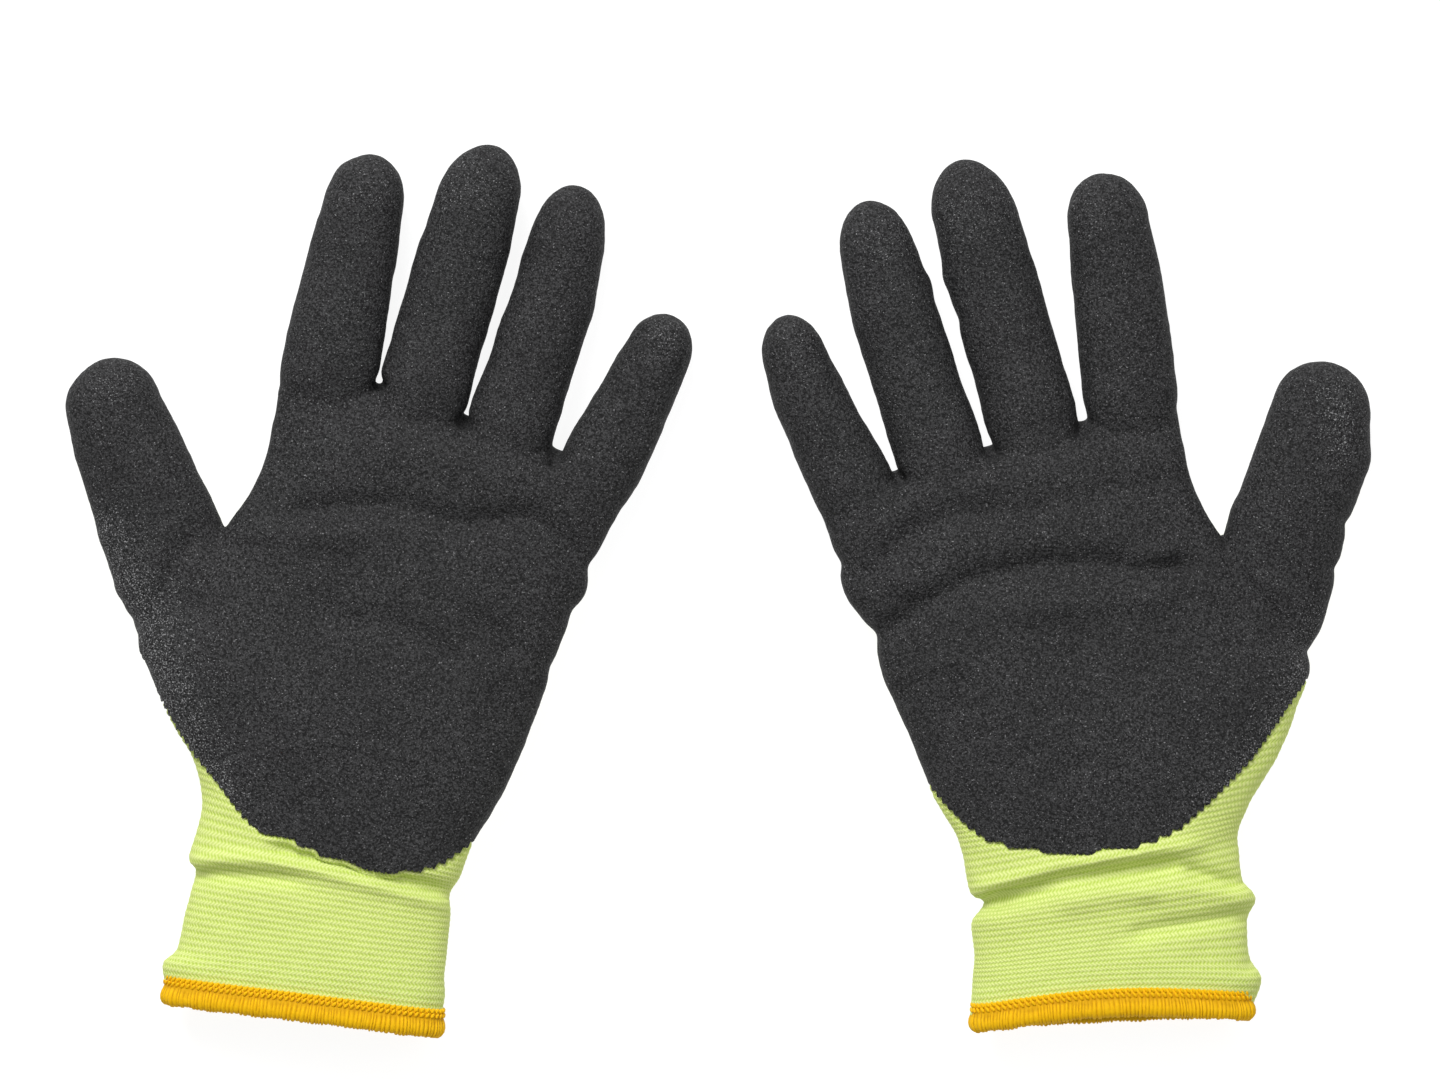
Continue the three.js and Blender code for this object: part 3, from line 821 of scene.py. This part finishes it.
def cut_fingers(bm, side):
    """Cuts the shell across each finger's root and middle, and marks every face with its part."""
    part = bm.faces.layers.int.new("part")
    for number, finger in enumerate(FINGERS):
        root, along, middle = finger_line(side, finger)
        reach, others = THUMB_REACH, ()
        if finger != "thumb":
            reach = FINGER_SHAPES[side][finger][0] / 2 + FINGER_MARGIN
            others = [other for other in FINGERS if other not in (finger, "thumb")]
        cuts = (-CUT_BEFORE_ROOT, middle - CUT_BEFORE_MIDDLE)
        for mark, cut in enumerate(cuts, 1 + 2 * number):
            def level(places):
                return (places[:, :2] - root) @ along - cut

            places = centres(bm.faces)
            near = (np.abs(level(places)) < NEAR_CUT) & (off_line(side, finger, places) < reach)
            cut_level(bm, list(compress(bm.faces, near)), level)
            places = centres(bm.faces)
            away = off_line(side, finger, places)
            inside = (level(places) > 0) & (away < reach)
            for other in others:
                inside &= away <= off_line(side, other, places)
            for face in compress(bm.faces, inside):
                face[part] = mark


def take_part(bm, mark):
    """A copy of the faces with one mark."""
    copy = bm.copy()
    part = copy.faces.layers.int["part"]
    others = [face for face in copy.faces if face[part] != mark]
    bmesh.ops.delete(copy, geom=others, context="FACES")
    return copy


def offset(bm, distance):
    """Moves a shell's points out along their directions."""
    place_points(bm, coordinates(bm) + normals(bm) * distance)


def parts_of(side, kind):
    """Mark, piece name, bodies and blend for each part of a hand shell."""
    palm_name = {"coat": f"{side}_palm_coat", "knit": f"{side}_hand_knit"}[kind]
    rows = [(0, palm_name, None, None)]
    matrix = hand_matrix(side)
    for number, finger in enumerate(FINGERS):
        root, along, middle = finger_line(side, finger)
        palm, base, tip = f"{side}_palm", f"{side}_{finger}_base", f"{side}_{finger}_tip"
        spans = (
            (palm, base, -CUT_BEFORE_ROOT, BLEND_ROOT.get(finger, BLEND_ROOT_USUAL), "base"),
            (base, tip, middle - CUT_BEFORE_MIDDLE, BLEND_MIDDLE, "tip"),
        )
        for step, (parent, child, start, reach, end_name) in enumerate(spans):
            ends = [
                matrix @ Vector((*(root + along * place), 0.0)) for place in (start, start + reach)]
            rows.append((
                1 + 2 * number + step, f"{side}_{finger}_{kind}_{end_name}", (parent, child), ends))
    return rows


def set_in_frame(piece, side, bodies, node):
    """Ties the palm's piece to the palm's body and bakes the other pieces' placing into their meshes;
    hides the part that each piece stands for.
    """
    if bodies is None:
        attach(piece, f"{side}_palm")
    else:
        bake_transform(piece)
    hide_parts(node)


def build_parts(bm, side, kind, thickness, material):
    """Makes the pieces of a marked hand shell."""
    for mark, node, bodies, ends in parts_of(side, kind):
        part = take_part(bm, mark)
        thicken(part, thickness)
        piece = make_object(part, f"{node}_skin", side, material)
        set_in_frame(piece, side, bodies, node)


def dip_level(side, places):
    """Height over the coat's lower edge: over zero where the coat is."""
    u, v, turn = WRIST[side]
    turn = math.radians(turn)
    along = np.array((math.sin(turn), math.cos(turn)))
    across = np.array((math.cos(turn), -math.sin(turn)))
    from_wrist = places[:, :2] - np.array((u, v))
    sideways = from_wrist @ across
    line = np.array(DIP_LINE[side], float)
    edge = np.interp(sideways, line[:, 0], line[:, 1])
    step = bpy.context.scene.glove_sizes.rib / MM
    stairs = np.floor(edge / step) * step + step * smoothstep(*STEP_EDGES, edge / step % 1)
    fine, coarse = (sideways * turns for turns in FRAY_TURNS)
    frayed = FRAY_DEPTH * np.sin(fine) * np.sin(coarse + 1.0)
    palm_level = from_wrist @ along - stairs - frayed
    back_level = np.maximum(places[:, 2] - DIP_SIDE_HEIGHT, places[:, 1] + KNUCKLE_DIP)
    return np.minimum(palm_level, back_level)


def glint_strength(side, places):
    """How strong the coat's painted highlight specks are: most along the heel of the hand."""
    shade_and_glint = np.zeros(len(places))
    for half_width, amount, line in GLINT_LINES[side]:
        shade_and_glint += amount * np.exp(-(distance_to_line(places[:, :2], line)[0] / half_width) ** 2)
    return np.clip(shade_and_glint, 0, 1)


def build_coats(side, material):
    """The foam coat: the palm's piece and two for each finger."""
    sizes = bpy.context.scene.glove_sizes
    coat = sizes.coat / MM
    bm = joined_shell(side, coat, sizes.coat_voxel / MM)
    wrinkle(bm, side, PIT_DEPTH)
    offset(bm, coat)
    cut_fingers(bm, side)

    def level(places):
        return dip_level(side, places)

    near = np.abs(level(centres(bm.faces))) < NEAR_EDGE
    edges = list({edge for face in compress(bm.faces, near) for edge in face.edges})
    bmesh.ops.subdivide_edges(bm, edges=edges, cuts=2, use_grid_fill=True)
    near = np.abs(level(centres(bm.faces))) < NEAR_EDGE
    trim(bm, list(compress(bm.faces, near)), level)
    places = coordinates(bm)
    pebbles = roughness_field(places, 2.4 * sizes.grain / MM, 3)
    # Strength of the painted highlight specks, kept on each point for the coat's material.
    wear_and_glint = bm.verts.layers.float.new("wear_and_glint")
    for vert, value in zip(bm.verts, glint_strength(side, places).tolist()):
        vert[wear_and_glint] = value
    place_points(bm, places + normals(bm) * (PEBBLE_RELIEF * pebbles)[:, None])
    lay_down(bm)
    build_parts(bm, side, "coat", COAT_WALL * coat, material)
    bm.free()


def build_linings(side, material):
    """The knitted lining under the coat and on the back of the hand."""
    sizes = bpy.context.scene.glove_sizes
    coat = sizes.coat / MM
    bm = joined_shell(side, coat + LINING_GAP, sizes.lining_voxel / MM)
    wrinkle(bm, side, LINING_PIT_DEPTH)
    places = coordinates(bm)
    webs = [(*WEB_PRESS, (pit,)) for pit in WEB_PITS[side]]
    places[:, 2] -= press(places, webs) * smoothstep(*PRESS_HEIGHTS, places[:, 2])
    place_points(bm, places)
    cut_fingers(bm, side)
    thumb, little, _ = OUTLINE[side][SLEEVE_TOP[side]]
    start = np.array(thumb)
    line = np.array(little) - start
    up = np.array((-line[1], line[0])) / np.linalg.norm(line)

    def level(places):
        return (places[:, :2] - start) @ up - LINING_CUT

    trim(bm, list(compress(bm.faces, centres(bm.faces)[:, 1] < LINING_ZONE)), level)
    build_parts(bm, side, "knit", sizes.lining / MM - LINING_GAP, material)
    bm.free()


# ---------------------------------------------------------------- cuff and hem

def sleeve_lines(side, rib):
    """Places in the outline's lines, a quarter rib apart along the middle of the sleeve."""
    fine = np.linspace(0, SLEEVE_TOP[side], 2001)
    data = [(*thumb, *little) for thumb, little, _ in OUTLINE[side]]
    values = spline(data, fine)
    middle = (values[:, :2] + values[:, 2:]) / 2
    length = np.concatenate(([0], np.cumsum(np.linalg.norm(np.diff(middle, axis=0), axis=1))))
    courses = int(length[-1] / rib)
    rows = courses * ROWS_PER_RIB
    return np.interp(np.linspace(0, length[-1], rows + 1), length, fine), courses


def build_cuff(side):
    """The ribbed cuff with the folds at the wrist, reaching in under the coat."""
    sizes = bpy.context.scene.glove_sizes
    lines, courses = sleeve_lines(side, sizes.rib / MM)
    rows = len(lines) - 1
    angles, _ = even_angles(SLEEVE_AROUND, SQUARENESS["cuff"], CUFF_HALF_WIDTH, CUFF_HALF_HEIGHT)

    def place(row, column):
        here, turn = lines[row.astype(int)], angles[column.astype(int)]
        free = outline_ring(side, here, turn, 0.0, SQUARENESS["cuff"])
        under = smoothstep(*SINK_FADE, dip_level(side, free))
        back = smoothstep(*SLEEVE_SINKS[side], here) * (1 - smoothstep(*SINK_HEIGHTS, free[:, 2]))
        inset = SLEEVE_DEPTH * np.maximum(under, back)
        return outline_ring(side, here, turn, inset, SQUARENESS["cuff"])

    bm = wrap_grid(rows, SLEEVE_AROUND, place)
    bmesh.ops.recalc_face_normals(bm, faces=bm.faces)
    places = coordinates(bm)
    out = normals(bm)
    if (out[:, 2] * (places[:, 2] - CUFF_HALF_HEIGHT)).sum() < 0:
        bmesh.ops.reverse_faces(bm, faces=bm.faces)
        out = normals(bm)
    uv = bm.loops.layers.uv.active
    rows_here = rows * np.array([vert.link_loops[0][uv].uv.y for vert in bm.verts])
    clear = 1 - smoothstep(-FOLDS_FADE, 0.0, dip_level(side, places))
    depth = press(places, SLEEVE_FOLDS[side]) * smoothstep(*FOLD_HEIGHTS, places[:, 2]) * clear
    depth += unevenness(places)
    relief = sizes.rib_height / MM / 2 * np.cos(rows_here / ROWS_PER_RIB * 2 * np.pi)
    place_points(bm, places + out * (relief - depth)[:, None])
    lay_down(bm)
    thicken(bm, SLEEVE_WALL)
    piece = make_object(bm, f"{side}_cuff_rib_knit", side, ribbed_knit(courses))
    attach(piece, f"{side}_palm")
    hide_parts(f"{side}_cuff_rib")


def mouth_point(side, angles, out, along):
    """A point of the mouth's line, moved outwards and along the wrist."""
    thumb, little, _ = (np.array(value) for value in OUTLINE[side][0])
    across = (little - thumb) / np.linalg.norm(little - thumb)
    up = np.array((-across[1], across[0]))
    c, s = section(angles, SQUARENESS["cuff"])
    width, height = HEM_HALF_WIDTH, HEM_HALF_HEIGHT
    facing = np.column_stack((c * height, s * width))
    facing /= np.linalg.norm(facing, axis=1)[:, None]
    sideways = width * c + out * facing[:, 0]
    z = HEM_CENTRE_Z + height * s + out * facing[:, 1]
    bow = BOW[side] * (1 - c ** 2) * np.maximum(s, 0)
    flat = (thumb + little) / 2 + sideways[:, None] * across + (along + bow)[:, None] * up
    return np.column_stack((flat, z))


def hem_angles(count):
    """Evenly spaced angles around the hem, and its length."""
    return even_angles(count, SQUARENESS["cuff"], HEM_HALF_WIDTH, HEM_HALF_HEIGHT)


def hem_band(side, thread, rng):
    """The rolled band: threads wrapped over the edge, side by side."""
    per_thread = 6
    _, length = hem_angles(100)
    threads = int(length / thread)
    columns = threads * per_thread
    angles, _ = hem_angles(columns)
    widths = rng.uniform(*THREAD_WIDTHS, threads)
    starts = np.concatenate(([0], np.cumsum(widths))) / widths.sum() * threads
    heights = rng.uniform(*THREAD_HEIGHTS, threads)
    profile = np.array(HEM_SECTION)

    def parts(row, column):
        values = profile[row.astype(int) % len(profile)]
        size, waves = THREAD_LEAN
        lean = size * np.sin(column / columns * 2 * np.pi * waves) * (values[:, 1] + 2) / 5
        place = (column / per_thread + lean) % threads
        number = np.clip(np.searchsorted(starts, place, side="right") - 1, 0, threads - 1)
        share = (place - starts[number]) / np.maximum(starts[number + 1] - starts[number], 1e-6)
        roundness = np.abs(np.sin(np.pi * np.clip(share, 0, 1))) ** 0.6
        return values, roundness, heights[number]

    def place(row, column):
        values, roundness, height = parts(row, column)
        swell = (THREAD_SWELL * height * roundness - THREAD_SINK) * values[:, 2]
        size, waves = THREAD_LUMPS
        lumps = size * np.sin(column / columns * 2 * np.pi * waves + 1) * (values[:, 1] < 0)
        away = values[:, :2] - np.array(HEM_CORE)
        away /= np.linalg.norm(away, axis=1)[:, None]
        moved = values[:, :2] + away * (swell + lumps)[:, None]
        return mouth_point(side, angles[column.astype(int)], moved[:, 0], moved[:, 1])

    return wrap_grid(len(profile), columns, place, closed_rows=True)


def add_chain(bm, side, along, out, loop):
    """One row of the overlock's chain: a ring of plump loops lying aslant, each over the next."""
    _, length = hem_angles(100)
    loops = int(length / loop)
    angles, _ = hem_angles(2 * loops)
    aside = CHAIN_ZIGZAG * (-1) ** np.arange(2 * loops + 1)
    ring = mouth_point(side, angles, out, along + aside)
    outer = mouth_point(side, angles, out + 1.0, along + aside)
    for i in range(loops):
        here = Vector(ring[2 * i])
        forward = Vector(ring[2 * i + 1]) - here
        facing = (Vector(outer[2 * i]) - here).normalized()
        forward.normalize()
        turn = Matrix((forward, facing.cross(forward), facing)).transposed().to_4x4()
        lean = Matrix.Rotation(CHAIN_LEAN, 4, "Z")
        shape = Matrix.Diagonal((*CHAIN_LOOP, 1.0))
        bmesh.ops.create_uvsphere(
            bm, u_segments=8, v_segments=5, radius=1.0,
            matrix=Matrix.Translation(here) @ turn @ lean @ shape)


def build_hem(side, material):
    """The golden hem: a rolled band of threads with two rows of chain above it."""
    sizes = bpy.context.scene.glove_sizes
    rng = np.random.default_rng(7 + SIDES.index(side))
    bm = hem_band(side, sizes.thread / MM, rng)
    bmesh.ops.recalc_face_normals(bm, faces=bm.faces)
    for along, out in HEM_CHAINS:
        add_chain(bm, side, along, out, sizes.chain_loop / MM)
    lay_down(bm)
    piece = make_object(bm, f"{side}_hem_overlock", side, material)
    hollow_shade(piece)
    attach(piece, f"{side}_palm")
    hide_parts(f"{side}_hem_binding")


def hollow_shade(piece):
    """Stores how far each point stands over its neighbours, for the painted shade between threads."""
    bm = bmesh.new()
    bm.from_mesh(piece.data)
    bm.normal_update()
    values = []
    for vert in bm.verts:
        around = [edge.other_vert(vert).co for edge in vert.link_edges]
        middle = sum(around, Vector()) / len(around)
        values.append((vert.co - middle).dot(vert.normal) / MM)
    bm.free()
    # Painted shade: points lying below their neighbours get low values, which darken the yarn.
    values = HOLLOW_START + HOLLOW_GAIN * np.array(values)
    attribute = piece.data.attributes.new("thread", "FLOAT", "POINT")
    attribute.data.foreach_set("value", np.clip(values, 0, 1).astype(np.float32))


# ---------------------------------------------------------------- operators

class GLOVES_OT_coats(bpy.types.Operator):
    """Build the foam nitrile coat of both gloves"""

    bl_idname = "gloves.coats"
    bl_label = "Foam coats"

    def execute(self, context):
        material = foam_nitrile()
        for side in SIDES:
            build_coats(side, material)
        return {"FINISHED"}


class GLOVES_OT_linings(bpy.types.Operator):
    """Build the knitted linings of both gloves"""

    bl_idname = "gloves.linings"
    bl_label = "Knitted linings"

    def execute(self, context):
        material = jersey_knit()
        for side in SIDES:
            build_linings(side, material)
        return {"FINISHED"}


class GLOVES_OT_cuffs(bpy.types.Operator):
    """Build the ribbed cuffs of both gloves"""

    bl_idname = "gloves.cuffs"
    bl_label = "Ribbed cuffs"

    def execute(self, context):
        for side in SIDES:
            build_cuff(side)
        return {"FINISHED"}


class GLOVES_OT_hems(bpy.types.Operator):
    """Build the overlocked hems of both gloves"""

    bl_idname = "gloves.hems"
    bl_label = "Overlocked hems"

    def execute(self, context):
        material = overlock_yarn()
        for side in SIDES:
            build_hem(side, material)
        return {"FINISHED"}


class GLOVES_OT_stage(bpy.types.Operator):
    """Build the floor, the lights and the camera"""

    bl_idname = "gloves.stage"
    bl_label = "Stage"

    def execute(self, context):
        build_stage()
        return {"FINISHED"}


class GLOVES_PT_panel(bpy.types.Panel):
    """Sizes, colours and steps of the gloves"""

    bl_idname = "GLOVES_PT_panel"
    bl_label = "Gloves"
    bl_space_type = "VIEW_3D"
    bl_region_type = "UI"
    bl_category = "Gloves"

    def draw(self, context):
        for group in (context.scene.glove_sizes, context.scene.glove_colours):
            for name in group.__annotations__:
                self.layout.prop(group, name)
        for step in STEPS:
            self.layout.operator(step.bl_idname)


STEPS = (GLOVES_OT_stage, GLOVES_OT_coats, GLOVES_OT_linings, GLOVES_OT_cuffs, GLOVES_OT_hems)
CLASSES = (GloveSizes, GloveColours, *STEPS, GLOVES_PT_panel)

CAMERA_HEIGHT = 2.0
VIEW_WIDTH = 0.4176  # width of the view at the gloves' middle height
VIEW_CENTRE = (0.08613, -0.03828)  # from the left glove's hand frame to the view's centre
MIDDLE_HEIGHT = 0.012  # the gloves' middle height
SENSOR = 36.0
WORLD_STRENGTH, FLOOR_GLOW = 0.27, 0.9
LIGHTS = (  # name, place, size in metres, power in watts
    ("key", (-0.5, 1.2, 1.4), 0.9, 38.0),
    ("fill", (0.7, 0.4, 1.6), 0.9, 8.0),
    ("front", (0.0, -1.3, 1.1), 1.0, 1.5),
)


def studio_white():
    """Seamless paper: matt and white, so that it takes a faint soft shadow."""
    material, tree = new_material("seamless_paper", 0.9, 0.1)
    inputs = tree.nodes["Principled BSDF"].inputs
    inputs["Base Color"].default_value = (*bpy.context.scene.glove_colours.floor, 1)
    inputs["Emission Color"].default_value = (1, 1, 1, 1)
    inputs["Emission Strength"].default_value = FLOOR_GLOW
    return material


def build_stage():
    """A pale floor, three large soft lights and the camera straight above."""
    scene = bpy.context.scene
    bm = bmesh.new()
    bmesh.ops.create_grid(bm, x_segments=4, y_segments=4, size=6.0)
    mesh = bpy.data.meshes.new("floor")
    bm.to_mesh(mesh)
    bm.free()
    floor = bpy.data.objects.new("floor", mesh)
    floor.location.z = -0.0002
    mesh.materials.append(studio_white())
    scene.collection.objects.link(floor)

    world = bpy.data.worlds.new("studio")
    world.use_nodes = True
    background = world.node_tree.nodes["Background"]
    background.inputs["Color"].default_value = (1, 1, 1, 1)
    background.inputs["Strength"].default_value = WORLD_STRENGTH
    scene.world = world
    for name, place, size, power in LIGHTS:
        data = bpy.data.lights.new(name, "AREA")
        data.size = size
        data.energy = power
        lamp = bpy.data.objects.new(name, data)
        lamp.location = place
        lamp.rotation_euler = (-Vector(place)).to_track_quat("-Z", "Y").to_euler()
        scene.collection.objects.link(lamp)

    data = bpy.data.cameras.new("camera")
    data.sensor_width = SENSOR
    data.lens = SENSOR * (CAMERA_HEIGHT - MIDDLE_HEIGHT) / VIEW_WIDTH
    data.clip_end = 20
    camera = bpy.data.objects.new("camera", data)
    origin = hand_matrix("left").translation
    camera.location = (origin.x + VIEW_CENTRE[0], origin.y + VIEW_CENTRE[1], CAMERA_HEIGHT)
    scene.collection.objects.link(camera)
    scene.camera = camera
    scene.view_settings.view_transform = "Standard"


def register():
    for item in CLASSES:
        bpy.utils.register_class(item)
    bpy.types.Scene.glove_sizes = bpy.props.PointerProperty(type=GloveSizes)
    bpy.types.Scene.glove_colours = bpy.props.PointerProperty(type=GloveColours)


def unregister():
    del bpy.types.Scene.glove_colours
    del bpy.types.Scene.glove_sizes
    for item in reversed(CLASSES):
        bpy.utils.unregister_class(item)


def main():
    """Builds the stage and both gloves."""
    register()
    for step in STEPS:
        category, name = step.bl_idname.split(".")
        getattr(getattr(bpy.ops, category), name)()


if __name__ == "__main__":
    main()
